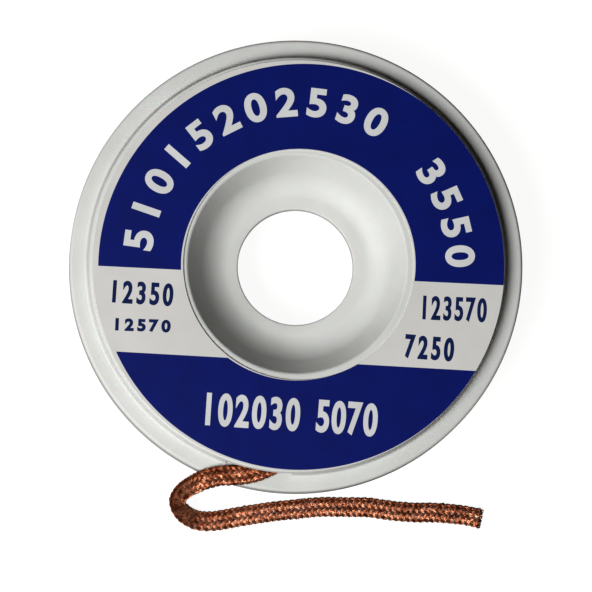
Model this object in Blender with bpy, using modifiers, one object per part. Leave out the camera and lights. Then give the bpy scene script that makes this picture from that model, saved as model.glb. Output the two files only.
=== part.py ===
"""Desoldering braid in its round plastic case, lying flat on a level surface.

Two dished plastic halves meet at the hub and at the rim. The copper braid is wound between
them, and its free end leaves through a low slot under the edge of the front plateau, drops
over the rim and runs along the surface the case lies on.
Metres, +Z up, origin under the centre of the case on that surface.
"""
import math

import bmesh
import bpy
from mathutils import Vector

MM = 0.001

# Case, as turned profile sizes. Heights are above the plane where the halves meet
CASE_RADIUS = 27.0 * MM
HALF_HEIGHT = 5.5 * MM
WALL = 0.7 * MM
HALVES_GAP = 0.3 * MM
BORE_RADIUS = 6.9 * MM
HUB_FLOOR_RADIUS = 8.2 * MM
DISH_FILLET = 3.6 * MM
DISH_SLOPE_ANGLE = math.radians(60.0)
DISH_EDGE_ROUND = 0.4 * MM
FLANGE_WIDTH = 2.4 * MM
PLATEAU_EDGE_ROUND = 0.3 * MM
STEP_DRAFT = 0.25 * MM
STEP_FOOT_ROUND = 0.25 * MM
WALL_DRAFT_ANGLE = math.radians(8.0)
FLANGE_HEIGHT = 3.9 * MM
RIM_ROUND = 0.4 * MM
RIM_DRAFT = 0.12 * MM
TURN_STEPS = 60
FILLET_POINTS = 6
EDGE_POINTS = 3
RIM_POINTS = 4

# Printed label on the front plateau, stuck a little off the case's centre
LABEL_INNER_MARGIN = 0.45 * MM
LABEL_OUTER_MARGIN = 0.27 * MM
LABEL_SHIFT_X = 0.2 * MM
LABEL_SHIFT_Y = -0.1 * MM
LABEL_THICKNESS = 0.15 * MM
LABEL_GLUE = 0.05 * MM

# Wound braid between the halves
WINDING_HALF_HEIGHT = 3.7 * MM
WINDING_RIM_CLEARANCE = 0.6 * MM
WINDING_HUB_CLEARANCE = 0.4 * MM
WINDING_START_ANGLE = math.radians(22.0)
WINDING_ROUND = 0.6 * MM

# Braid and its slot
BRAID_WIDTH = 2.5 * MM
BRAID_THICKNESS = 0.7 * MM
BRAID_SECTION_SIDES = 10
BRAID_FLATNESS_ACROSS = 0.7
BRAID_FLATNESS_UP = 0.6
BRAID_TUBE_STEPS = 66
ROUTE_SUBSTEPS = 24
SURFACE_CLEARANCE = 0.1 * MM
SLOT_CLEARANCE = 0.1 * MM
SLOT_ANGLE = math.radians(-100.8)
SLOT_LENGTH = 7.8 * MM
SLOT_DEPTH = 1.6 * MM

# Linear colours
PLASTIC_COLOUR = (0.72, 0.71, 0.69)
PRINT_COLOUR = (0.012, 0.024, 0.13)
COPPER_COLOUR = (0.56, 0.24, 0.13)
PLASTIC_ROUGHNESS = 0.42
PRINT_ROUGHNESS = 0.35
COPPER_ROUGHNESS = 0.38

MEETING_PLANE = HALF_HEIGHT
HUB_FLOOR_HEIGHT = HALVES_GAP / 2 + WALL
PLATEAU_RADIUS = CASE_RADIUS - FLANGE_WIDTH
WINDING_RADIUS = PLATEAU_RADIUS - WALL - WINDING_RIM_CLEARANCE

# Heights of the braid's middle line in its slot and on the surface, in millimetres
EXIT_Z = (MEETING_PLANE + FLANGE_HEIGHT + SLOT_CLEARANCE + BRAID_THICKNESS / 2) / MM
FLOOR_Z = (SURFACE_CLEARANCE + BRAID_THICKNESS / 2) / MM

# The free end's route in millimetres: along X, along Y, height, and roll about its own line
# in degrees. It starts on the winding, under the plateau
BRAID_ROUTE = (
    (0.03, -22.01, EXIT_Z, 0.0),
    (-1.56, -22.91, EXIT_Z, 0.0),
    (-3.11, -23.69, EXIT_Z, 0.0),
    (-4.39, -24.29, EXIT_Z, 0.0),
    (-5.60, -24.64, EXIT_Z, 0.0),
    (-6.79, -24.82, EXIT_Z, 0.0),
    (-7.97, -24.88, EXIT_Z, 0.0),
    (-9.11, -24.92, EXIT_Z, 0.0),
    (-10.11, -25.12, EXIT_Z, 0.0),
    (-11.05, -25.40, 9.82, 3.0),
    (-11.97, -25.79, 9.15, 12.0),
    (-12.88, -26.27, 7.70, 24.0),
    (-13.64, -26.91, 5.80, 32.0),
    (-14.00, -27.81, 3.90, 33.0),
    (-13.61, -28.83, 2.30, 27.0),
    (-12.59, -29.66, 1.20, 16.0),
    (-11.35, -30.09, 0.64, 6.0),
    (-9.91, -30.13, FLOOR_Z, 1.0),
    (-8.48, -29.94, FLOOR_Z, 0.0),
    (-6.54, -29.60, FLOOR_Z, 0.0),
    (-4.61, -29.30, FLOOR_Z, 0.0),
    (-2.67, -29.01, FLOOR_Z, 0.0),
    (0.21, -28.73, FLOOR_Z, 0.0),
    (3.10, -28.48, FLOOR_Z, 0.0),
    (5.99, -28.49, FLOOR_Z, 0.0),
    (8.88, -28.55, FLOOR_Z, 0.0),
    (10.82, -28.81, FLOOR_Z, 0.0),
    (12.77, -29.05, FLOOR_Z, 0.0),
    (14.71, -29.17, FLOOR_Z, 0.0),
    (16.66, -29.17, FLOOR_Z, 0.0),
    (18.55, -29.32, FLOOR_Z, 0.0),
    (20.49, -29.52, FLOOR_Z, 0.0),
    (22.64, -29.98, FLOOR_Z, 0.0),
)


def clear_scene():
    """Empties the scene and its collections."""
    for old in list(bpy.data.objects):
        bpy.data.objects.remove(old, do_unlink=True)
    for old in list(bpy.data.collections):
        bpy.data.collections.remove(old)


def new_collection(name):
    """A collection under the scene's own."""
    group = bpy.data.collections.new(name)
    bpy.context.scene.collection.children.link(group)
    return group


def principled(name, colour, roughness, metallic=0.0):
    """A plain Principled material; its colour is linear."""
    material = bpy.data.materials.new(name)
    material.use_nodes = True
    shader = material.node_tree.nodes["Principled BSDF"]
    shader.inputs["Base Color"].default_value = (*colour, 1.0)
    shader.inputs["Roughness"].default_value = roughness
    shader.inputs["Metallic"].default_value = metallic
    return material


def arc(centre_r, centre_h, radius, start, end, count):
    """Points on an arc in the turned section; angles are from +r towards +h, in degrees."""
    points = []
    for index in range(count):
        angle = math.radians(start + (end - start) * index / (count - 1))
        points.append((centre_r + radius * math.cos(angle), centre_h + radius * math.sin(angle)))
    return points


def turned(name, profile, group, material, closed=False):
    """A turned object: its section as edges at +X, with a Screw modifier round Z."""
    mesh = bpy.data.meshes.new(name)
    edges = [(index, index + 1) for index in range(len(profile) - 1)]
    if closed:
        edges.append((len(profile) - 1, 0))
    mesh.from_pydata([(r, 0.0, h) for r, h in profile], edges, [])
    turned_object = bpy.data.objects.new(name, mesh)
    group.objects.link(turned_object)
    mesh.materials.append(material)
    screw = turned_object.modifiers.new("Turn", "SCREW")
    screw.axis = "Z"
    screw.angle = math.tau
    screw.steps = TURN_STEPS
    screw.render_steps = TURN_STEPS
    screw.use_merge_vertices = True
    screw.merge_threshold = 0.00001
    screw.use_smooth_shade = True
    return turned_object


def dish_section():
    """The dish in the turned section, from the bore up to where the plateau starts."""
    slope = math.degrees(DISH_SLOPE_ANGLE)
    cove_h = HUB_FLOOR_HEIGHT + DISH_FILLET
    floor_to_wall = arc(HUB_FLOOR_RADIUS, cove_h, DISH_FILLET, -90.0, slope - 90.0, FILLET_POINTS)
    foot_r, foot_h = floor_to_wall[-1]
    round_h = HALF_HEIGHT - DISH_EDGE_ROUND
    round_start_h = round_h + DISH_EDGE_ROUND * math.cos(DISH_SLOPE_ANGLE)
    round_start_r = foot_r + (round_start_h - foot_h) / math.tan(DISH_SLOPE_ANGLE)
    round_r = round_start_r + DISH_EDGE_ROUND * math.sin(DISH_SLOPE_ANGLE)
    edge = arc(round_r, round_h, DISH_EDGE_ROUND, 90.0 + slope, 90.0, EDGE_POINTS)
    return [(BORE_RADIUS, HUB_FLOOR_HEIGHT)] + floor_to_wall + edge


def rim_section():
    """The rest of the visible section: over the plateau's edge, the step and the flange, and down the rim."""
    draft = math.degrees(WALL_DRAFT_ANGLE)
    plateau_round_r = PLATEAU_RADIUS - PLATEAU_EDGE_ROUND
    plateau_round_h = HALF_HEIGHT - PLATEAU_EDGE_ROUND
    plateau_edge = arc(plateau_round_r, plateau_round_h, PLATEAU_EDGE_ROUND, 90.0, draft, EDGE_POINTS)
    step_foot_r = PLATEAU_RADIUS + STEP_DRAFT + STEP_FOOT_ROUND
    step_foot_h = FLANGE_HEIGHT + STEP_FOOT_ROUND
    step_foot = arc(step_foot_r, step_foot_h, STEP_FOOT_ROUND, 180.0 + draft, 270.0, EDGE_POINTS)
    rim_round_r = CASE_RADIUS - RIM_DRAFT - RIM_ROUND
    rim = arc(rim_round_r, FLANGE_HEIGHT - RIM_ROUND, RIM_ROUND, 90.0, draft, RIM_POINTS)
    return plateau_edge + step_foot + rim + [(CASE_RADIUS, HALVES_GAP / 2)]


def case_half(name, group, material, front):
    """One plastic half: the visible skin, thickened inwards by the wall."""
    half = turned(name, dish_section() + rim_section(), group, material)
    shell = half.modifiers.new("Wall", "SOLIDIFY")
    shell.thickness = WALL
    shell.offset = -1.0
    shell.use_even_offset = True
    shell.use_rim = True
    half.location = (0.0, 0.0, MEETING_PLANE)
    if not front:
        half.rotation_euler = (math.pi, 0.0, 0.0)
    return half


def cut_slot(half, cutters):
    """The slot through the front half's step, under its plateau, where the braid comes out."""
    height = HALF_HEIGHT - WALL - FLANGE_HEIGHT
    mesh = bpy.data.meshes.new("slot_cutter")
    shape = bmesh.new()
    bmesh.ops.create_cube(shape, size=1.0)
    bmesh.ops.scale(shape, vec=(SLOT_DEPTH * 2, SLOT_LENGTH, height), verts=shape.verts)
    shape.to_mesh(mesh)
    shape.free()
    cutter = bpy.data.objects.new("slot_cutter", mesh)
    cutters.objects.link(cutter)
    radius = PLATEAU_RADIUS
    cutter.location = (
        radius * math.cos(SLOT_ANGLE),
        radius * math.sin(SLOT_ANGLE),
        MEETING_PLANE + FLANGE_HEIGHT + height / 2,
    )
    cutter.rotation_euler = (0.0, 0.0, SLOT_ANGLE)
    cutter.hide_render = True
    cutter.display_type = "WIRE"
    cut = half.modifiers.new("Slot", "BOOLEAN")
    cut.operation = "DIFFERENCE"
    cut.solver = "EXACT"
    cut.object = cutter


def make_label(group, material):
    """The thin ring label on the front plateau, as far off centre as in the photo."""
    bottom = HALF_HEIGHT + LABEL_GLUE
    top = bottom + LABEL_THICKNESS
    inner = dish_section()[-1][0] + LABEL_INNER_MARGIN
    outer = PLATEAU_RADIUS - LABEL_OUTER_MARGIN
    profile = [(inner, top), (outer, top), (outer, bottom), (inner, bottom)]
    label = turned("label", profile, group, material, closed=True)
    label.location = (LABEL_SHIFT_X, LABEL_SHIFT_Y, MEETING_PLANE)
    return label


def make_winding(group, material):
    """The wound braid as one turned ring whose inner side follows the two funnels."""
    reach = DISH_FILLET + WALL + WINDING_HUB_CLEARANCE
    centre_h = HUB_FLOOR_HEIGHT + DISH_FILLET
    start = math.degrees(WINDING_START_ANGLE) - 90.0
    end = math.degrees(DISH_SLOPE_ANGLE) - 90.0
    inner = arc(HUB_FLOOR_RADIUS, centre_h, reach, start, end, EDGE_POINTS)
    last_r, last_h = inner[-1]
    top_r = last_r + (WINDING_HALF_HEIGHT - last_h) / math.tan(DISH_SLOPE_ANGLE)
    upper = inner + [(top_r, WINDING_HALF_HEIGHT)] + arc(
        WINDING_RADIUS - WINDING_ROUND, WINDING_HALF_HEIGHT - WINDING_ROUND, WINDING_ROUND, 90.0, 0.0, 2
    )
    lower = [(r, -h) for r, h in reversed(upper)]
    winding = turned("wound_braid", upper + lower, group, material, closed=True)
    winding.location = (0.0, 0.0, MEETING_PLANE)
    return winding


def smooth_route(route, count):
    """Evenly spaced points on a Catmull-Rom curve through the route, with the roll as a fourth value."""
    stops = [Vector(stop) for stop in route]
    fine = []
    for index in range(len(stops) - 1):
        before = stops[max(index - 1, 0)]
        here = stops[index]
        there = stops[index + 1]
        after = stops[min(index + 2, len(stops) - 1)]
        for step in range(ROUTE_SUBSTEPS):
            t = step / ROUTE_SUBSTEPS
            fine.append(
                0.5
                * (
                    2 * here
                    + (there - before) * t
                    + (2 * before - 5 * here + 4 * there - after) * t**2
                    + (3 * here - before - 3 * there + after) * t**3
                )
            )
    fine.append(stops[-1])
    travelled = [0.0]
    for index in range(1, len(fine)):
        travelled.append(travelled[-1] + (fine[index].xyz - fine[index - 1].xyz).length)
    points = []
    cursor = 0
    for index in range(count):
        target = travelled[-1] * index / (count - 1)
        while cursor < len(fine) - 2 and travelled[cursor + 1] < target:
            cursor += 1
        span = travelled[cursor + 1] - travelled[cursor]
        share = (target - travelled[cursor]) / span
        points.append(fine[cursor].lerp(fine[cursor + 1], share))
    return points


def make_tail(group, guides, material):
    """The free end of the braid: a flat tube along its route."""
    section_curve = bpy.data.curves.new("braid_section", "CURVE")
    section_curve.dimensions = "2D"
    section_curve.fill_mode = "NONE"
    section_line = section_curve.splines.new("POLY")
    section_line.points.add(BRAID_SECTION_SIDES - 1)
    section_line.use_cyclic_u = True
    for index, point in enumerate(section_line.points):
        angle = -math.tau * (index + 0.5) / BRAID_SECTION_SIDES
        across = math.copysign(abs(math.cos(angle)) ** BRAID_FLATNESS_ACROSS, math.cos(angle))
        upward = math.copysign(abs(math.sin(angle)) ** BRAID_FLATNESS_UP, math.sin(angle))
        point.co = (across * BRAID_WIDTH / 2, upward * BRAID_THICKNESS / 2, 0.0, 1.0)
    section = bpy.data.objects.new("braid_section", section_curve)
    guides.objects.link(section)
    section.hide_render = True
    section.display_type = "WIRE"

    curve = bpy.data.curves.new("braid_tail", "CURVE")
    curve.dimensions = "3D"
    curve.twist_mode = "Z_UP"
    curve.bevel_mode = "OBJECT"
    curve.bevel_object = section
    curve.use_fill_caps = True
    line = curve.splines.new("POLY")
    line.points.add(BRAID_TUBE_STEPS - 1)
    for point, place in zip(line.points, smooth_route(BRAID_ROUTE, BRAID_TUBE_STEPS)):
        point.co = (*(place.xyz * MM), 1.0)
        point.tilt = math.radians(place.w)
    curve.materials.append(material)
    tail = bpy.data.objects.new("braid_tail", curve)
    group.objects.link(tail)
    return tail


def main():
    clear_scene()
    group = new_collection("desoldering_braid")
    cutters = new_collection("cutters")
    plastic = principled("white_plastic", PLASTIC_COLOUR, PLASTIC_ROUGHNESS)
    printed = principled("printed_label", PRINT_COLOUR, PRINT_ROUGHNESS)
    copper = principled("copper_braid", COPPER_COLOUR, COPPER_ROUGHNESS, metallic=1.0)
    front = case_half("case_front", group, plastic, front=True)
    cut_slot(front, cutters)
    case_half("case_back", group, plastic, front=False)
    make_label(group, printed)
    make_winding(group, copper)
    make_tail(group, cutters, copper)


main()
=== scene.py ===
"""Looks of the desoldering braid: the white bobbin case, its printed ring label, the wound
copper braid and the woven free end that lies beside the case. Metres, +Z up.
"""
import math

import bmesh
import bpy
import numpy as np
from mathutils import Matrix, Vector


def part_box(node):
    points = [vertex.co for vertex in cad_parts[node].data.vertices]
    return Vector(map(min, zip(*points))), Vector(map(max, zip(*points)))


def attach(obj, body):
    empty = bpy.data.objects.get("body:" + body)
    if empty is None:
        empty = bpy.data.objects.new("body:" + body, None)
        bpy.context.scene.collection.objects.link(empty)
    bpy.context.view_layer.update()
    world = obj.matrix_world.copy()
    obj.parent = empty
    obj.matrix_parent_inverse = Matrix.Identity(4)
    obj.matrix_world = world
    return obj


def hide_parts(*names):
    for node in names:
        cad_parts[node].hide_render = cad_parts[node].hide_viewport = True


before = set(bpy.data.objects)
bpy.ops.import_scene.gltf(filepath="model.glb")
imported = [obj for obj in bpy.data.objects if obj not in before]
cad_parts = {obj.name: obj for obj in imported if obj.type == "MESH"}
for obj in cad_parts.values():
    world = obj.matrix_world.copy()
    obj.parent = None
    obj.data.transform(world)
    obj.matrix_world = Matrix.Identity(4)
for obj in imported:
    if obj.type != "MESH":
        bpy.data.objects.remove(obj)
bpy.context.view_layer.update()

MM = 0.001
BODY = "root"

# Sizes read from the frame
front_low, front_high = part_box("case_front")
back_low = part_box("case_back")[0]
label_low, label_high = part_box("label")
winding_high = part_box("wound_braid")[1]
CASE_RADIUS = front_high.x
MEETING_PLANE = (front_high.z + back_low.z) / 2
HALF_HEIGHT = front_high.z - MEETING_PLANE
RIM_GAP = front_low.z - MEETING_PLANE
STICKER_OUTER = (label_high.x - label_low.x) / 2
STICKER_CENTRE = ((label_low.x + label_high.x) / 2, (label_low.y + label_high.y) / 2)
STICKER_TOP = label_high.z
WINDING_RADIUS = winding_high.x
WINDING_HALF = winding_high.z - MEETING_PLANE

# Case section, as on the solids, with finer rounds
WALL = 0.7 * MM
HALVES_GAP = 0.3 * MM
BORE_RADIUS = 6.9 * MM
BORE_EDGE_ROUND = 0.2 * MM
HUB_FLOOR_RADIUS = 8.2 * MM
DISH_FILLET = 3.6 * MM
DISH_SLOPE = math.radians(60.0)
DISH_EDGE_ROUND = 0.4 * MM
PLATEAU_RADIUS = CASE_RADIUS - 2.4 * MM
PLATEAU_EDGE_ROUND = 0.3 * MM
STEP_DRAFT = 0.25 * MM
STEP_FOOT_ROUND = 0.25 * MM
WALL_DRAFT = math.radians(8.0)
FLANGE_HEIGHT = 3.9 * MM
RIM_ROUND = 0.4 * MM
RIM_DRAFT = 0.12 * MM
RIM_LIP_ROUND = 0.12 * MM
TURN_STEPS = 256
DISH_POINTS = 15
RIM_POINTS = 10
ROUND_POINTS = 7
SMALL_ROUND_POINTS = 5
SMALLEST_MITRE = 0.5
CASE_SHARP_ANGLE = math.radians(50.0)

# Slot in the front half
SLOT_ANGLE = math.radians(-100.8)
SLOT_LENGTH = 7.8 * MM
SLOT_DEPTH = 1.6 * MM

# Label: the print's two edges as (centre x, centre y, radius, oval, angle of its long axis), not
# quite concentric or round as in the photo, and the white band's edges as drop at the centre, slope
STICKER_INNER = 13.64 * MM
PRINT_OUTER = (0.62 * MM, -0.26 * MM, 24.04 * MM, 0.15 * MM, math.radians(42.0))
PRINT_INNER = (0.14 * MM, -0.08 * MM, 13.78 * MM, 0.1 * MM, math.radians(23.0))
BAND_TOP_DROP = 1.383 * MM
BAND_TOP_SLOPE = -0.0481
BAND_BOTTOM_DROP = 11.544 * MM
BAND_BOTTOM_SLOPE = -0.0583
INK = 0.006 * MM
PRINT_EDGE = 0.03 * MM
STICKER_EDGE_ROUND = 0.02 * MM
STICKER_LIFT = 0.004 * MM
STICKER_SHARP_ANGLE = math.radians(30.0)
FIELD_STEPS = 160
FIELD_ROWS = 6

# Plain numbers on the label: on the arc as (digits, first angle, last angle), and in straight
# rows as (digits, first x, first y, last x, last y, height, width factor, added stroke), in mm.
# A digit's height is a share of its type size, and only digits that thicken cleanly are used
DIGIT_SHARE = 0.69
DIGIT_CURVE_STEPS = 10
ARC_CENTRE = (0.22, 0.17)
ARC_RADIUS = 19.05
ARC_HEIGHT = 3.5
ARC_WIDEN = 1.12
ARC_STROKE = 0.17
ARC_ROWS = (("51015202530", 172.0, 61.2), ("3550", 34.3, 2.2))
LOWER_ROWS = (
    ("102030", -10.49, -17.12, -0.57, -17.8, 3.88, 0.62, 0.14),
    ("5070", 2.96, -18.0, 8.55, -18.44, 3.88, 0.62, 0.14),
)
CELL_ROWS = (
    ("12350", -21.52, -3.27, -15.23, -3.68, 2.67, 0.66, 0.1),
    ("12570", -21.22, -7.15, -15.47, -7.38, 1.48, 1.1, 0.1),
    ("123570", 15.0, -5.18, 21.81, -5.51, 2.84, 0.56, 0.09),
    ("7250", 13.26, -9.79, 17.87, -10.16, 2.78, 0.6, 0.11),
)

# Braid
BRAID_WIDTH = 2.5 * MM
BRAID_THICKNESS = 0.7 * MM
WIRE_RADIUS = 0.056 * MM
WIRE_SIDES = 5
WIRES_PER_STRAND = 3
STRANDS = 10
LAY_LENGTH = 7.2 * MM
SAMPLE_STEP = 0.24 * MM
ROUTE_SUBSTEPS = 24
SEED = 7
SLOT_CLEARANCE = 0.1 * MM
SURFACE_CLEARANCE = 0.1 * MM
WIRE_CLEARANCE = 0.01 * MM
EXIT_Z = (MEETING_PLANE + FLANGE_HEIGHT + SLOT_CLEARANCE + BRAID_THICKNESS / 2) / MM
FLOOR_Z = (SURFACE_CLEARANCE + BRAID_THICKNESS / 2) / MM

# The free end's route in millimetres: along X, along Y, height, and roll in degrees
BRAID_ROUTE = (
    (0.03, -22.01, EXIT_Z, 0.0),
    (-1.56, -22.91, EXIT_Z, 0.0),
    (-3.11, -23.69, EXIT_Z, 0.0),
    (-4.39, -24.29, EXIT_Z, 0.0),
    (-5.60, -24.64, EXIT_Z, 0.0),
    (-6.79, -24.82, EXIT_Z, 0.0),
    (-7.97, -24.88, EXIT_Z, 0.0),
    (-9.11, -24.92, EXIT_Z, 0.0),
    (-10.11, -25.12, EXIT_Z, 0.0),
    (-11.05, -25.40, 9.82, 3.0),
    (-11.97, -25.79, 9.15, 12.0),
    (-12.88, -26.27, 7.70, 24.0),
    (-13.64, -26.91, 5.80, 32.0),
    (-14.00, -27.81, 3.90, 33.0),
    (-13.61, -28.83, 2.30, 27.0),
    (-12.59, -29.66, 1.20, 16.0),
    (-11.35, -30.09, 0.64, 6.0),
    (-9.91, -30.13, FLOOR_Z, 1.0),
    (-8.48, -29.94, FLOOR_Z, 0.0),
    (-6.54, -29.60, FLOOR_Z, 0.0),
    (-4.61, -29.30, FLOOR_Z, 0.0),
    (-2.67, -29.01, FLOOR_Z, 0.0),
    (0.21, -28.73, FLOOR_Z, 0.0),
    (3.10, -28.48, FLOOR_Z, 0.0),
    (5.99, -28.49, FLOOR_Z, 0.0),
    (8.88, -28.55, FLOOR_Z, 0.0),
    (10.82, -28.81, FLOOR_Z, 0.0),
    (12.77, -29.05, FLOOR_Z, 0.0),
    (14.71, -29.17, FLOOR_Z, 0.0),
    (16.66, -29.17, FLOOR_Z, 0.0),
    (18.55, -29.32, FLOOR_Z, 0.0),
    (20.49, -29.52, FLOOR_Z, 0.0),
    (22.64, -29.98, FLOOR_Z, 0.0),
)

# The flattened section's outline as powers of the circle's cosine and sine, and its smoothing
SECTION_POWERS = (0.75, 0.7)
SECTION_STEPS = 720
SECTION_SMOOTHING = np.array((1.0, 2.0, 3.0, 4.0, 3.0, 2.0, 1.0)) / 16.0

# The weave in wire radii: the depth of a layer, the spacing of wires and the rise at a crossing.
# A strand goes over two and under two, so its weave repeats after four crossings
LAYER_DEPTH = 2.6
WIRE_SPACING = 2.02
CROSSING_RISE = 1.7
CROSSINGS_PER_REPEAT = 4
SMALLEST_LENGTH = 1e-12

# How a wire wanders: in slow waves, with a few raised loops, whose spread is in mm
STRAND_SWAY = 0.02 * MM
WANDER_WAVES = (3.1 * MM, 5.3 * MM, 8.9 * MM)
WANDER_SIDEWAYS = 0.012 * MM
WANDER_OUTWARD = 0.008 * MM
LOOPS_PER_WIRE = 3
LOOP_SPREAD = (0.4, 0.9)
LOOP_RISE = 0.05 * MM

# Wire tints from 0, dark, to 1: a base, a share that differs from wire to wire and a share of painted
# light and shade that follows the weave, less at the cut end and painted darker as shade on one side,
# whose direction is along X and Y
TINT_NAME = "wire_tint_and_shading"
TINT_BASE = 0.1
TINT_BY_WIRE = 0.35
PAINTED_SHADING_SHARE = 0.55
TINT_BETA = 2.0
PAINTED_SHADE_SIDE = np.array((-0.7, 0.7))
PAINTED_SHADE_FROM = 0.25
PAINTED_SHADE_OVER = 0.3
PAINTED_SHADE_LOSS = 0.65
DARK_END = 0.7 * MM

# Winding: its inner side, its grid, how far the weave and the turns' edges sink, and its tints, with
# painted shade where the weave sinks and painted light where it rises
WINDING_INNER_RADIUS = 13.4 * MM
WINDING_STEPS = 900
WINDING_ROWS = 24
WINDING_CELLS = 4
WINDING_MARGIN = 0.1 * MM
WINDING_EDGE_DEPTH = 0.45 * MM
WINDING_WEAVE_DEPTH = 0.05 * MM
WINDING_EDGE_POWER = 4
WINDING_TINT = 0.5
WINDING_WEAVE_PAINTED_SHADE = 0.25
WINDING_SIDE_TINT = 0.3

# Camera: it looks down, leaning a little to the left and towards the label's bottom edge
CAMERA_DISTANCE = 0.4
CAMERA_LEAN_LEFT = math.radians(2.5)
CAMERA_LEAN_DOWN = math.radians(4.5)
FRAME_WIDTH = 70.8 * MM
FRAME_CENTRE_RIGHT = 0.094 * MM
FRAME_CENTRE_BELOW = 3.361 * MM
SENSOR = 36.0
CAMERA_CLIP = (0.01, 10.0)

# Key light from the lower left of the frame, the faint light of the world, and the floor
KEY_AZIMUTH = math.radians(214.0)
KEY_ELEVATION = math.radians(52.5)
KEY_DISTANCE = 0.7
KEY_SIZE = 0.4
KEY_POWER = 5.95
KEY_COLOUR = (0.99, 1.0, 0.985)
WORLD_COLOUR = (1.0, 0.93, 0.86)
WORLD_LIGHT = 0.02
FLOOR_REACH = 1.5
FLOOR_COLOUR = (0.16, 0.16, 0.16)
FLOOR_GLOW_COLOUR = (1.0, 1.0, 0.995)
FLOOR_GLOW = 0.95
PICTURE_GAMMA = 0.85

# Colours as (darker, lighter), in linear light, and the stretch of the noise that they spread over
PLASTIC_COLOURS = ((0.655, 0.655, 0.642), (0.705, 0.705, 0.692))
STICKER_COLOURS = ((0.68, 0.665, 0.65), (0.72, 0.705, 0.69))
BLUE_INK = ((0.0005, 0.0082, 0.145), (0.0009, 0.0102, 0.172))
PALE_INK = ((0.66, 0.66, 0.67), (0.73, 0.73, 0.74))
DARK_INK = ((0.006, 0.016, 0.085), (0.010, 0.024, 0.115))
MOTTLE_STRETCH = (0.3, 0.7)
BLUE_ROUGHNESS = 0.45
INK_ROUGHNESS = 0.34
INK_SMOOTHER = 0.05
INK_ROUGHER = 0.07

# Copper from dark to light by wire tint, which carries painted light and shade, and the tarnish that lies
# over it in patches
COPPER_STOPS = (
    (0.0, (0.07, 0.014, 0.005)),
    (0.3, (0.34, 0.09, 0.034)),
    (0.65, (0.74, 0.29, 0.15)),
    (1.0, (0.98, 0.62, 0.43)),
)
TARNISH_COLOUR = (0.3, 0.08, 0.03)
TARNISH_STOPS = ((0.34, (0.0, 0.0, 0.0)), (0.58, (1.0, 1.0, 1.0)))

# Sockets of a mix node that mixes colours
MIX_FACTOR = 0
MIX_FIRST = 6
MIX_SECOND = 7
MIX_RESULT = 2

scene = bpy.context.scene


def link(obj):
    """Puts an object in the scene."""
    scene.collection.objects.link(obj)
    return obj


def mesh_object(name, points, faces, smooth=True):
    """A mesh object from points and faces."""
    mesh = bpy.data.meshes.new(name)
    mesh.from_pydata([tuple(p) for p in points], [], faces)
    mesh.update()
    if smooth:
        mesh.shade_smooth()
    return link(bpy.data.objects.new(name, mesh))


def evaluated_mesh(obj):
    """An object's mesh with its modifiers applied, as new mesh data."""
    depsgraph = bpy.context.evaluated_depsgraph_get()
    return bpy.data.meshes.new_from_object(obj.evaluated_get(depsgraph))


def apply_modifiers(obj):
    """Replaces an object's mesh by what its modifiers make of it."""
    bpy.context.view_layer.update()
    mesh = evaluated_mesh(obj)
    obj.modifiers.clear()
    obj.data = mesh
    return obj


def keep(obj, slot_name, material, *nodes):
    """Gives a piece its material and its body and hides the nodes that it stands for. The slot name is
    not used.
    """
    obj.data.materials.clear()
    obj.data.materials.append(material)
    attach(obj, BODY)
    if nodes:
        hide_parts(*nodes)


class Nodes:
    """A material's node tree with short ways to add and join nodes."""

    def __init__(self, name):
        self.material = bpy.data.materials.new(name)
        self.material.use_nodes = True
        self.tree = self.material.node_tree
        self.shader = self.tree.nodes["Principled BSDF"]

    def add(self, kind, **settings):
        """A new node with those settings."""
        node = self.tree.nodes.new(kind)
        for key, value in settings.items():
            setattr(node, key, value)
        return node

    def join(self, output, socket):
        """Joins an output to a socket."""
        self.tree.links.new(output, socket)

    def set(self, **values):
        """Sets the shader's sockets; an underscore in a name stands for a space."""
        for key, value in values.items():
            self.shader.inputs[key.replace("_", " ")].default_value = value

    def noise(self, scale, detail=3.0):
        """Noise on the object's own place, in cells per metre."""
        texture = self.add("ShaderNodeTexNoise")
        texture.inputs["Scale"].default_value = scale
        texture.inputs["Detail"].default_value = detail
        self.join(self.add("ShaderNodeTexCoord").outputs["Object"], texture.inputs["Vector"])
        return texture.outputs["Fac"]

    def ramp(self, value, stops):
        """A colour ramp; stops are (place, colour)."""
        ramp = self.add("ShaderNodeValToRGB")
        elements = ramp.color_ramp.elements
        while len(elements) < len(stops):
            elements.new(0.5)
        for element, (place, colour) in zip(elements, stops):
            element.position = place
            element.color = (*colour, 1.0)
        self.join(value, ramp.inputs["Fac"])
        return ramp.outputs["Color"]

    def mottle(self, scale, colours, detail=3.0):
        """A base colour that wanders between two colours."""
        colour = self.ramp(self.noise(scale, detail), tuple(zip(MOTTLE_STRETCH, colours)))
        self.join(colour, self.shader.inputs["Base Color"])

    def uneven_gloss(self, scale, low, high):
        """A roughness that wanders between two values."""
        span = self.add("ShaderNodeMapRange")
        span.inputs["To Min"].default_value = low
        span.inputs["To Max"].default_value = high
        self.join(self.noise(scale), span.inputs["Value"])
        self.join(span.outputs["Result"], self.shader.inputs["Roughness"])

    def cover(self, factor, colour, socket):
        """A plain colour, with a colour socket laid over it by a factor socket."""
        node = self.add("ShaderNodeMix", data_type="RGBA")
        node.inputs[MIX_FIRST].default_value = (*colour, 1.0)
        self.join(factor, node.inputs[MIX_FACTOR])
        self.join(socket, node.inputs[MIX_SECOND])
        return node.outputs[MIX_RESULT]

    def bump(self, scale, detail, distance):
        """A bump of noise of that height in metres, chained onto the shader's normal."""
        node = self.add("ShaderNodeBump")
        node.inputs["Distance"].default_value = distance
        self.join(self.noise(scale, detail), node.inputs["Height"])
        socket = self.shader.inputs["Normal"]
        if socket.is_linked:
            self.join(socket.links[0].from_socket, node.inputs["Normal"])
        self.join(node.outputs["Normal"], socket)


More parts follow.
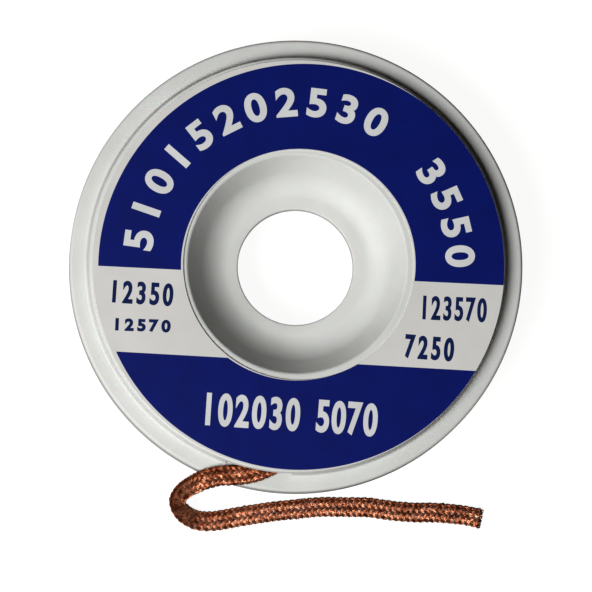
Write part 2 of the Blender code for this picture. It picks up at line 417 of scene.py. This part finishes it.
def plastic_material():
    """Warm white moulded plastic, satin, with faint mottling."""
    nodes = Nodes("case_plastic")
    nodes.mottle(180.0, PLASTIC_COLOURS, detail=4.0)
    nodes.uneven_gloss(900.0, 0.5, 0.64)
    nodes.set(IOR=1.5, Subsurface_Weight=0.06, Subsurface_Scale=0.001)
    nodes.bump(5200.0, 2.0, 0.006 * MM)
    nodes.bump(420.0, 2.0, 0.02 * MM)
    return nodes.material


def sticker_material():
    """The label's white face, coated paper."""
    nodes = Nodes("label_white")
    nodes.mottle(220.0, STICKER_COLOURS)
    nodes.set(Roughness=0.38, Coat_Weight=0.15, Coat_Roughness=0.2)
    nodes.bump(2600.0, 2.0, 0.004 * MM)
    return nodes.material


def ink_material(name, colours, roughness=INK_ROUGHNESS):
    """Printed ink with slightly uneven cover."""
    nodes = Nodes(name)
    nodes.mottle(260.0, colours)
    nodes.uneven_gloss(1500.0, roughness - INK_SMOOTHER, roughness + INK_ROUGHER)
    nodes.set(Specular_IOR_Level=0.2)
    nodes.bump(2600.0, 2.0, 0.004 * MM)
    return nodes.material


def copper_material(name):
    """Bare copper wire: each wire has its own tint, with painted light and shade along the weave and on
    one side, and darker tarnish in patches.
    """
    nodes = Nodes(name)
    tint = nodes.add("ShaderNodeAttribute", attribute_name=TINT_NAME).outputs["Fac"]
    wire = nodes.ramp(tint, COPPER_STOPS)
    bare = nodes.ramp(nodes.noise(1100.0), TARNISH_STOPS)
    nodes.join(nodes.cover(bare, TARNISH_COLOUR, wire), nodes.shader.inputs["Base Color"])
    nodes.uneven_gloss(2200.0, 0.2, 0.38)
    nodes.set(Metallic=0.8)
    nodes.bump(16000.0, 1.0, 0.005 * MM)
    return nodes.material


def floor_material():
    """A plain pale matt floor."""
    nodes = Nodes("floor_pale")
    nodes.set(
        Base_Color=(*FLOOR_COLOUR, 1.0),
        Roughness=0.9,
        Specular_IOR_Level=0.1,
        Emission_Color=(*FLOOR_GLOW_COLOUR, 1.0),
        Emission_Strength=FLOOR_GLOW,
    )
    return nodes.material


def set_camera():
    """The photograph's viewing angle."""
    toward = Vector((-math.tan(CAMERA_LEAN_LEFT), -math.tan(CAMERA_LEAN_DOWN), 1.0)).normalized()
    right = (Vector((1.0, 0.0, 0.0)) - toward * toward.x).normalized()
    up = toward.cross(right)
    target = Vector((0.0, 0.0, MEETING_PLANE)) + right * FRAME_CENTRE_RIGHT - up * FRAME_CENTRE_BELOW
    data = bpy.data.cameras.new("camera")
    data.sensor_width = SENSOR
    data.lens = SENSOR * CAMERA_DISTANCE / FRAME_WIDTH
    data.clip_start, data.clip_end = CAMERA_CLIP
    camera = link(bpy.data.objects.new("camera", data))
    place = Matrix((right, up, toward)).transposed().to_4x4()
    place.translation = target + toward * CAMERA_DISTANCE
    camera.matrix_world = place
    scene.camera = camera


def make_key_light():
    """One soft square light that looks at the origin."""
    place = KEY_DISTANCE * Vector((
        math.cos(KEY_AZIMUTH) * math.cos(KEY_ELEVATION),
        math.sin(KEY_AZIMUTH) * math.cos(KEY_ELEVATION),
        math.sin(KEY_ELEVATION),
    ))
    data = bpy.data.lights.new("key", "AREA")
    data.shape = "SQUARE"
    data.size = KEY_SIZE
    data.energy = KEY_POWER
    data.color = KEY_COLOUR
    light = link(bpy.data.objects.new("key", data))
    light.location = place
    light.rotation_euler = place.to_track_quat("Z", "Y").to_euler()


def make_floor():
    """A large square floor that glows softly and lights nothing."""
    corners = [(-FLOOR_REACH, -FLOOR_REACH), (FLOOR_REACH, -FLOOR_REACH)]
    corners += [(FLOOR_REACH, FLOOR_REACH), (-FLOOR_REACH, FLOOR_REACH)]
    floor = mesh_object("floor", [(x, y, 0.0) for x, y in corners], [(0, 1, 2, 3)], smooth=False)
    floor.data.materials.append(floor_material())
    floor.visible_diffuse = False
    floor.visible_glossy = False


def set_stage():
    """Floor, world and soft studio light."""
    make_floor()
    make_key_light()
    world = bpy.data.worlds.new("studio")
    world.use_nodes = True
    background = world.node_tree.nodes["Background"]
    background.inputs["Color"].default_value = (*WORLD_COLOUR, 1.0)
    background.inputs["Strength"].default_value = WORLD_LIGHT
    scene.world = world
    scene.view_settings.view_transform = "Standard"
    scene.view_settings.look = "None"
    scene.view_settings.gamma = PICTURE_GAMMA


def arc(centre_r, centre_h, radius, start, end, count):
    """Points on an arc in the turned section; angles from +r towards +h, in radians."""
    angles = np.linspace(start, end, count)
    return [(centre_r + radius * math.cos(a), centre_h + radius * math.sin(a)) for a in angles]


def case_section(corners=False):
    """The visible side of a half, from the bore over the plateau to the rim's lip.

    With corners, each round that is narrower than the wall is left as a corner.
    """
    quarter = math.pi / 2
    floor_h = HALVES_GAP / 2 + WALL
    dish_end = DISH_SLOPE - quarter
    dish = arc(HUB_FLOOR_RADIUS, floor_h + DISH_FILLET, DISH_FILLET, -quarter, dish_end, DISH_POINTS)
    foot_r, foot_h = dish[-1]
    round_h = HALF_HEIGHT - DISH_EDGE_ROUND
    start_h = round_h + DISH_EDGE_ROUND * math.cos(DISH_SLOPE)
    start_r = foot_r + (start_h - foot_h) / math.tan(DISH_SLOPE)
    step_r = PLATEAU_RADIUS + STEP_DRAFT + STEP_FOOT_ROUND
    step_h = FLANGE_HEIGHT + STEP_FOOT_ROUND
    step = arc(step_r, step_h, STEP_FOOT_ROUND, math.pi + WALL_DRAFT, 3 * quarter, ROUND_POINTS)
    if corners:
        edge_r = start_r + (HALF_HEIGHT - start_h) / math.tan(DISH_SLOPE)
        points = [(BORE_RADIUS, floor_h)] + dish
        points += [(edge_r, HALF_HEIGHT), (PLATEAU_RADIUS, HALF_HEIGHT)]
        return points + step + [(CASE_RADIUS - RIM_DRAFT, FLANGE_HEIGHT), (CASE_RADIUS, RIM_GAP)]
    bore_r = BORE_RADIUS + BORE_EDGE_ROUND
    bore_h = floor_h - BORE_EDGE_ROUND
    points = arc(bore_r, bore_h, BORE_EDGE_ROUND, math.pi, quarter, SMALL_ROUND_POINTS)
    points += dish
    round_r = start_r + DISH_EDGE_ROUND * math.sin(DISH_SLOPE)
    points += arc(round_r, round_h, DISH_EDGE_ROUND, quarter + DISH_SLOPE, quarter, ROUND_POINTS)
    edge_r = PLATEAU_RADIUS - PLATEAU_EDGE_ROUND
    edge_h = HALF_HEIGHT - PLATEAU_EDGE_ROUND
    points += arc(edge_r, edge_h, PLATEAU_EDGE_ROUND, quarter, WALL_DRAFT, ROUND_POINTS)
    points += step
    rim_r = CASE_RADIUS - RIM_DRAFT - RIM_ROUND
    points += arc(rim_r, FLANGE_HEIGHT - RIM_ROUND, RIM_ROUND, quarter, WALL_DRAFT, RIM_POINTS)
    lip_r = CASE_RADIUS - RIM_LIP_ROUND
    points += arc(lip_r, RIM_GAP + RIM_LIP_ROUND, RIM_LIP_ROUND, 0.0, -quarter, SMALL_ROUND_POINTS)
    return points


def offset_section(points, distance):
    """The section moved to its inner side, right of the direction of travel, with mitred corners."""
    line = np.array(points)
    step = np.diff(line, axis=0)
    step /= np.linalg.norm(step, axis=1)[:, None]
    normal = np.stack([step[:, 1], -step[:, 0]], axis=1)
    first = np.vstack([normal[:1], normal])
    last = np.vstack([normal, normal[-1:]])
    mitre = first + last
    mitre /= np.linalg.norm(mitre, axis=1)[:, None]
    stretch = 1.0 / np.maximum((mitre * last).sum(axis=1), SMALLEST_MITRE)
    return [tuple(p) for p in line + mitre * (distance * stretch)[:, None]]


def turned_mesh(name, section, lift, flip):
    """A closed section turned round Z; flip turns it over for the back half."""
    count = len(section)
    sign = -1.0 if flip else 1.0
    points = []
    for angle in np.linspace(0.0, math.tau, TURN_STEPS, endpoint=False):
        for r, h in section:
            points.append((r * math.cos(angle), r * math.sin(angle), lift + sign * h))
    faces = []
    for i in range(TURN_STEPS):
        for j in range(count):
            a = i * count + j
            b = i * count + (j + 1) % count
            c = ((i + 1) % TURN_STEPS) * count + (j + 1) % count
            d = ((i + 1) % TURN_STEPS) * count + j
            faces.append((a, b, c, d) if flip else (a, d, c, b))
    return mesh_object(name, points, faces)


def case_half(name, node, front, material):
    """One half of the case as a closed shell of even wall."""
    section = case_section() + offset_section(case_section(corners=True), WALL)[::-1]
    half = turned_mesh(name, section, MEETING_PLANE, not front)
    bm = bmesh.new()
    bm.from_mesh(half.data)
    bmesh.ops.recalc_face_normals(bm, faces=bm.faces)
    bm.to_mesh(half.data)
    bm.free()
    if front:
        cut_slot(half)
    half.data.shade_smooth()
    half.data.set_sharp_from_angle(angle=CASE_SHARP_ANGLE)
    keep(half, "case_plastic", material, node)


def cut_slot(half):
    """Cuts the low slot through the step."""
    height = HALF_HEIGHT - WALL - FLANGE_HEIGHT
    bpy.ops.mesh.primitive_cube_add(size=1.0)
    cutter = bpy.context.object
    cutter.scale = (SLOT_DEPTH * 2, SLOT_LENGTH, height)
    cutter.location = (
        PLATEAU_RADIUS * math.cos(SLOT_ANGLE),
        PLATEAU_RADIUS * math.sin(SLOT_ANGLE),
        MEETING_PLANE + FLANGE_HEIGHT + height / 2,
    )
    cutter.rotation_euler = (0.0, 0.0, SLOT_ANGLE)
    bpy.context.view_layer.update()
    cut = half.modifiers.new("Slot", "BOOLEAN")
    cut.operation = "DIFFERENCE"
    cut.solver = "EXACT"
    cut.object = cutter
    apply_modifiers(half)
    bpy.data.objects.remove(cutter, do_unlink=True)


def line_hits(circle, drop, slope):
    """Angles where the line y = slope * x - drop crosses a printed edge: right one, left one."""
    x, y, radius = circle[:3]
    away = (drop + y - slope * x) / math.hypot(1.0, slope)
    tilt = math.atan(slope)
    half = math.asin(away / radius)
    return tilt - half, tilt + math.pi + half


def circle_point(circle, angle):
    """A point of a printed edge, on top of its ink and no further out than the sticker's edge."""
    x, y, radius, oval, axis = circle
    radius += oval * math.cos(2 * (angle - axis))
    across = x + radius * math.cos(angle) - STICKER_CENTRE[0]
    up = y + radius * math.sin(angle) - STICKER_CENTRE[1]
    share = min(1.0, (STICKER_OUTER - PRINT_EDGE) / math.hypot(across, up))
    return Vector((STICKER_CENTRE[0] + across * share, STICKER_CENTRE[1] + up * share, STICKER_TOP + INK))


def field_mesh(name, drop, slope, above):
    """A printed field of the ring on one side of a line, as a thin closed sheet."""
    outer_right, outer_left = line_hits(PRINT_OUTER, drop, slope)
    inner_right, inner_left = line_hits(PRINT_INNER, drop, slope)
    if not above:
        outer_right, outer_left = outer_left - math.tau, outer_right
        inner_right, inner_left = inner_left - math.tau, inner_right
    points = []
    for i in range(FIELD_STEPS + 1):
        share = i / FIELD_STEPS
        inner = circle_point(PRINT_INNER, inner_right + (inner_left - inner_right) * share)
        outer = circle_point(PRINT_OUTER, outer_right + (outer_left - outer_right) * share)
        for j in range(FIELD_ROWS + 1):
            points.append(inner.lerp(outer, j / FIELD_ROWS))
    faces = []
    columns = FIELD_ROWS + 1
    for i in range(FIELD_STEPS):
        for j in range(FIELD_ROWS):
            a = i * columns + j
            faces.append((a, a + 1, a + columns + 1, a + columns))
    return thicken(mesh_object(name, points, faces, smooth=False), INK)


def thicken(obj, depth):
    """Closes a flat sheet into a thin solid below its face."""
    solid = obj.modifiers.new("Thick", "SOLIDIFY")
    solid.thickness = depth
    solid.offset = -1.0
    return apply_modifiers(obj)


def digit_mesh(digit, height, width_factor, stroke):
    """One flat plain digit that faces +Z, centred and of that height.

    The stroke is added on each side of its lines.
    """
    curve = bpy.data.curves.new("digit", "FONT")
    curve.body = digit
    curve.size = (height - 2 * stroke) / DIGIT_SHARE
    words = link(bpy.data.objects.new("digit", curve))
    bpy.context.view_layer.update()
    outline = words.to_curve(bpy.context.evaluated_depsgraph_get()).copy()
    words.to_curve_clear()
    bpy.data.objects.remove(words, do_unlink=True)
    outline.transform(Matrix.Diagonal((width_factor, 1.0, 1.0, 1.0)))
    outline.offset = stroke
    outline.resolution_u = DIGIT_CURVE_STEPS
    outline.fill_mode = "FRONT"
    drawn = link(bpy.data.objects.new("digit", outline))
    bpy.context.view_layer.update()
    mesh = evaluated_mesh(drawn)
    bpy.data.objects.remove(drawn, do_unlink=True)
    xs = [vertex.co.x for vertex in mesh.vertices]
    ys = [vertex.co.y for vertex in mesh.vertices]
    mesh.transform(Matrix.Translation((-(min(xs) + max(xs)) / 2, -(min(ys) + max(ys)) / 2, 0.0)))
    return mesh


def straight_row(row):
    """The digits of a straight row as (mesh, x, y, turn)."""
    digits, first_x, first_y, last_x, last_y, height, width_factor, stroke = row
    turn = math.atan2(last_y - first_y, last_x - first_x)
    items = []
    for index, digit in enumerate(digits):
        share = index / (len(digits) - 1)
        x = (first_x + (last_x - first_x) * share) * MM
        y = (first_y + (last_y - first_y) * share) * MM
        items.append((digit_mesh(digit, height * MM, width_factor, stroke * MM), x, y, turn))
    return items


def arc_row(row):
    """The digits of a row on the arc as (mesh, x, y, turn)."""
    digits, first, last = row
    items = []
    for index, digit in enumerate(digits):
        angle = math.radians(first + (last - first) * index / (len(digits) - 1))
        x = (ARC_CENTRE[0] + ARC_RADIUS * math.cos(angle)) * MM
        y = (ARC_CENTRE[1] + ARC_RADIUS * math.sin(angle)) * MM
        mesh = digit_mesh(digit, ARC_HEIGHT * MM, ARC_WIDEN, ARC_STROKE * MM)
        items.append((mesh, x, y, angle - math.pi / 2))
    return items


def print_object(name, items, lift, material):
    """Joins flat printed shapes, each (mesh, x, y, turn), into one thin piece."""
    bm = bmesh.new()
    for mesh, x, y, turn in items:
        start = len(bm.verts)
        bm.from_mesh(mesh)
        bm.verts.ensure_lookup_table()
        place = Matrix.Translation((x, y, lift)) @ Matrix.Rotation(turn, 4, "Z")
        bmesh.ops.transform(bm, matrix=place, verts=bm.verts[start:])
        bpy.data.meshes.remove(mesh)
    for face in bm.faces:
        face.smooth = False
        if face.normal.z < 0:
            face.normal_flip()
    mesh = bpy.data.meshes.new(name)
    bm.to_mesh(mesh)
    bm.free()
    obj = link(bpy.data.objects.new(name, mesh))
    thicken(obj, INK)
    keep(obj, "label_print", material)


def make_label(white, blue, pale, dark):
    """The sticker, its two blue fields and the plain numbers printed on it."""
    bottom = MEETING_PLANE + HALF_HEIGHT + STICKER_LIFT
    section = [
        (STICKER_INNER, bottom),
        (STICKER_OUTER, bottom),
        (STICKER_OUTER, STICKER_TOP - STICKER_EDGE_ROUND),
        (STICKER_OUTER - STICKER_EDGE_ROUND, STICKER_TOP),
        (STICKER_INNER + STICKER_EDGE_ROUND, STICKER_TOP),
        (STICKER_INNER, STICKER_TOP - STICKER_EDGE_ROUND),
    ]
    sticker = turned_mesh("label_sticker", section, 0.0, False)
    sticker.data.set_sharp_from_angle(angle=STICKER_SHARP_ANGLE)
    sticker.data.transform(Matrix.Translation((*STICKER_CENTRE, 0.0)))
    keep(sticker, "label_print", white, "label")
    upper = field_mesh("label_field_upper", BAND_TOP_DROP, BAND_TOP_SLOPE, True)
    keep(upper, "label_print", blue)
    lower = field_mesh("label_field_lower", BAND_BOTTOM_DROP, BAND_BOTTOM_SLOPE, False)
    keep(lower, "label_print", blue)

    on_blue = []
    for row in ARC_ROWS:
        on_blue += arc_row(row)
    for row in LOWER_ROWS:
        on_blue += straight_row(row)
    print_object("label_marks_white", on_blue, STICKER_TOP + 2 * INK, pale)
    on_white = []
    for row in CELL_ROWS:
        on_white += straight_row(row)
    print_object("label_marks_dark", on_white, STICKER_TOP + INK, dark)


def lengths_along(line):
    """How far along a line each of its points lies."""
    steps = np.linalg.norm(np.diff(line, axis=0), axis=1)
    return np.concatenate([[0.0], np.cumsum(steps)])


def sampled(at, places, table):
    """Each column of a table read off at other places."""
    return np.stack([np.interp(at, places, column) for column in table.T], axis=1)


def smooth_route():
    """Evenly spaced points down the middle of the free end, in metres, and the roll at each."""
    stops = np.array(BRAID_ROUTE)
    padded = np.vstack([stops[:1], stops, stops[-1:]])
    fine = []
    t = np.linspace(0.0, 1.0, ROUTE_SUBSTEPS, endpoint=False)[:, None]
    for index in range(len(stops) - 1):
        before, here, there, after = padded[index:index + 4]
        fine.append(0.5 * (
            2 * here
            + (there - before) * t
            + (2 * before - 5 * here + 4 * there - after) * t**2
            + (3 * here - before - 3 * there + after) * t**3
        ))
    fine = np.vstack(fine + [stops[-1:]])
    travelled = lengths_along(fine[:, :3])
    count = int(travelled[-1] * MM / SAMPLE_STEP) + 1
    even = sampled(np.linspace(0.0, travelled[-1], count), travelled, fine)
    return even[:, :3] * MM, np.radians(even[:, 3])


def unit(vectors):
    """Each row scaled to length one."""
    return vectors / np.maximum(np.linalg.norm(vectors, axis=1), SMALLEST_LENGTH)[:, None]


def ribbon_frames(line, roll):
    """The flat braid's directions across and out of its face at each point."""
    along = unit(np.gradient(line, axis=0))
    up = np.tile((0.0, 0.0, 1.0), (len(line), 1))
    across = unit(np.cross(up, along))
    out = np.cross(along, across)
    cosine = np.cos(roll)[:, None]
    sine = np.sin(roll)[:, None]
    return across * cosine + out * sine, out * cosine - across * sine


def section_table(width, thickness):
    """The flattened section by length along its edge: places, outward normals and total length."""
    angle = np.linspace(0.0, math.tau, SECTION_STEPS + 1)
    u = np.sign(np.cos(angle)) * np.abs(np.cos(angle)) ** SECTION_POWERS[0] * width / 2
    v = np.sign(np.sin(angle)) * np.abs(np.sin(angle)) ** SECTION_POWERS[1] * thickness / 2
    place = np.stack([u, v], axis=1)
    travelled = lengths_along(place)
    even = np.linspace(0.0, travelled[-1], SECTION_STEPS + 1)
    place = sampled(even, travelled, place)
    reach = len(SECTION_SMOOTHING) // 2
    wrapped = np.vstack([place[-reach - 1:-1], place, place[1:reach + 1]])
    smooth = [np.convolve(column, SECTION_SMOOTHING, mode="valid") for column in wrapped.T]
    place = np.stack(smooth, axis=1)
    heading = unit(np.gradient(np.vstack([place[-2:-1], place, place[1:2]]), axis=0)[1:-1])
    normal = np.stack([heading[:, 1], -heading[:, 0]], axis=1)
    return place, normal, travelled[-1]


def tube_faces(rings, sides, start):
    """Faces of one tube with closed ends, facing outward."""
    faces = []
    for i in range(rings - 1):
        for j in range(sides):
            a = start + i * sides + j
            b = start + i * sides + (j + 1) % sides
            faces.append((a, a + sides, b + sides, b))
    faces.append(tuple(start + j for j in range(sides)))
    faces.append(tuple(start + (rings - 1) * sides + j for j in reversed(range(sides))))
    return faces


def wander(travelled, rng):
    """How far one wire strays sideways and outward along its length."""
    drift = np.zeros(len(travelled))
    lift = np.zeros(len(travelled))
    for wave in WANDER_WAVES:
        phase = rng.uniform(0.0, math.tau, 2)
        drift += rng.normal(0.0, WANDER_SIDEWAYS) * np.sin(math.tau * travelled / wave + phase[0])
        lift += rng.normal(0.0, WANDER_OUTWARD) * np.sin(math.tau * travelled / wave + phase[1])
    for _ in range(LOOPS_PER_WIRE):
        middle = rng.uniform(0.0, travelled[-1])
        spread = rng.uniform(*LOOP_SPREAD) * MM
        lift += abs(rng.normal(0.0, LOOP_RISE)) * np.exp(-((travelled - middle) / spread) ** 2)
    return drift, lift


def woven_wires(line, roll, rng):
    """Every wire of the flattened tubular braid, as (centres, out directions, tones).

    Raised stretches are painted light, and sunken ones and one side of the braid are painted dark as
    shade.
    """
    across, out = ribbon_frames(line, roll)
    travelled = lengths_along(line)
    layer = LAYER_DEPTH * WIRE_RADIUS
    place, normal, around = section_table(BRAID_WIDTH - 2 * layer, BRAID_THICKNESS - 2 * layer)
    slots = np.linspace(0.0, around, len(place))
    lean = math.atan(around / LAY_LENGTH)
    wires = []
    for direction in (1, -1):
        for strand in range(STRANDS):
            sway = rng.normal(0.0, STRAND_SWAY)
            turns = strand / STRANDS + direction * travelled / LAY_LENGTH
            crossing = 2 * strand + direction * 2 * STRANDS * travelled / LAY_LENGTH
            weave = np.sin(math.tau * (crossing + 0.5) / CROSSINGS_PER_REPEAT)
            for wire in range(WIRES_PER_STRAND):
                beside = wire - (WIRES_PER_STRAND - 1) / 2
                shift = beside * WIRE_SPACING * WIRE_RADIUS / math.cos(lean)
                drift, lift = wander(travelled, rng)
                height = direction * weave * CROSSING_RISE * WIRE_RADIUS + lift
                position = (turns * around + shift + drift + sway) % around
                n = unit(sampled(position, slots, normal))
                flat = sampled(position, slots, place) + n * height[:, None]
                centre = line + across * flat[:, :1] + out * flat[:, 1:]
                face = across * n[:, :1] + out * n[:, 1:]
                # Painted shade: the wires on the braid's upper left side are darkened
                side = flat[:, 0] / (BRAID_WIDTH / 2) * (across[:, :2] @ PAINTED_SHADE_SIDE)
                shaded_side = np.clip((side - PAINTED_SHADE_FROM) / PAINTED_SHADE_OVER, 0.0, 1.0)
                # Painted light and shade: raised stretches of the weave lighter, sunken ones darker
                tone = 0.5 + 0.5 * direction * weave - PAINTED_SHADE_LOSS * shaded_side
                wires.append((centre, face, tone))
    return wires


def tinted_mesh(name, points, faces, tints):
    """A mesh object with a tint at each point, for the copper."""
    obj = mesh_object(name, points, faces)
    attribute = obj.data.attributes.new(TINT_NAME, "FLOAT", "POINT")
    attribute.data.foreach_set("value", tints)
    return obj


def make_tail(material):
    """The woven free end."""
    rng = np.random.default_rng(SEED)
    line, roll = smooth_route()
    points = []
    faces = []
    tints = []
    angles = np.linspace(0.0, math.tau, WIRE_SIDES, endpoint=False)
    for centre, face, tone in woven_wires(line, roll, rng):
        end = len(centre) - int(rng.integers(0, 2))
        centre = centre[:end].copy()
        centre[:, 2] = np.maximum(centre[:, 2], WIRE_RADIUS + WIRE_CLEARANCE)
        heading = unit(np.gradient(centre, axis=0))
        side = unit(np.cross(heading, face[:end]))
        top = np.cross(side, heading)
        rings = (
            centre[:, None, :]
            + WIRE_RADIUS * np.cos(angles)[None, :, None] * side[:, None, :]
            + WIRE_RADIUS * np.sin(angles)[None, :, None] * top[:, None, :]
        )
        faces += tube_faces(end, WIRE_SIDES, len(points))
        points.extend(rings.reshape(-1, 3))
        # Each wire's own tint, with the painted light and shade of its tone added
        tint = TINT_BASE + TINT_BY_WIRE * rng.beta(TINT_BETA, TINT_BETA) + PAINTED_SHADING_SHARE * tone[:end]
        tint *= np.clip((end - np.arange(end)) * SAMPLE_STEP / DARK_END, 0.0, 1.0)
        tints.extend(np.repeat(tint, WIRE_SIDES))
    tail = tinted_mesh("braid_tail_woven", points, faces, tints)
    keep(tail, "copper_braid", material, "braid_tail")


def winding_grid(angles):
    """The winding's outer side as a grid of points, and the weave from -1 to 1 at each."""
    heights = np.linspace(-WINDING_HALF, WINDING_HALF, WINDING_ROWS + 1)
    angle, height = np.meshgrid(angles, heights, indexing="ij")
    local = ((height / BRAID_WIDTH + 0.5) % 1.0) - 0.5
    edge = np.sqrt(np.clip(1.0 - (2 * np.abs(local)) ** WINDING_EDGE_POWER, 0.0, 1.0))
    laps = round(math.tau * WINDING_RADIUS / LAY_LENGTH)
    cells = angle / math.tau * laps * WINDING_CELLS
    rise = local * WINDING_CELLS
    rising = np.cos(math.tau * (cells + rise))
    falling = np.cos(math.tau * (cells - rise))
    weave = np.where(np.sin(math.tau * cells) > 0, rising, falling)
    depth = WINDING_EDGE_DEPTH * (1.0 - edge) - WINDING_WEAVE_DEPTH * weave
    radius = WINDING_RADIUS - WINDING_MARGIN - depth
    grid = np.stack([radius * np.cos(angle), radius * np.sin(angle), MEETING_PLANE + height], axis=2)
    return grid, weave


def make_winding(material):
    """The wound turns: a ring whose outer side carries the woven pattern that the slot shows."""
    angles = np.linspace(0.0, math.tau, WINDING_STEPS, endpoint=False)
    grid, weave = winding_grid(angles)
    points = [tuple(p) for p in grid.reshape(-1, 3)]
    # Painted light and shade: the weave is lighter where it rises and darker where it sinks
    tints = list((WINDING_TINT + WINDING_WEAVE_PAINTED_SHADE * weave).reshape(-1))
    inner = len(points)
    for angle in angles:
        x = WINDING_INNER_RADIUS * math.cos(angle)
        y = WINDING_INNER_RADIUS * math.sin(angle)
        points += [(x, y, MEETING_PLANE - WINDING_HALF), (x, y, MEETING_PLANE + WINDING_HALF)]
        tints += [WINDING_SIDE_TINT] * 2
    columns = WINDING_ROWS + 1
    outer_faces = []
    other_faces = []
    for i in range(WINDING_STEPS):
        j = (i + 1) % WINDING_STEPS
        a = i * columns
        b = j * columns
        for k in range(WINDING_ROWS):
            outer_faces.append((a + k, b + k, b + k + 1, a + k + 1))
        low_a, high_a = inner + 2 * i, inner + 2 * i + 1
        low_b, high_b = inner + 2 * j, inner + 2 * j + 1
        other_faces.append((low_a, low_b, b, a))
        other_faces.append((a + WINDING_ROWS, b + WINDING_ROWS, high_b, high_a))
        other_faces.append((high_a, high_b, low_b, low_a))
    winding = tinted_mesh("wound_braid_turns", points, outer_faces + other_faces, tints)
    keep(winding, "copper_braid", material, "wound_braid")


set_camera()
set_stage()

copper = copper_material("copper_wire")
make_tail(copper)
make_winding(copper)

plastic = plastic_material()
case_half("case_front_shell", "case_front", True, plastic)
case_half("case_back_shell", "case_back", False, plastic)

make_label(
    sticker_material(),
    ink_material("label_blue", BLUE_INK, BLUE_ROUGHNESS),
    ink_material("label_pale_print", PALE_INK),
    ink_material("label_dark_print", DARK_INK),
)
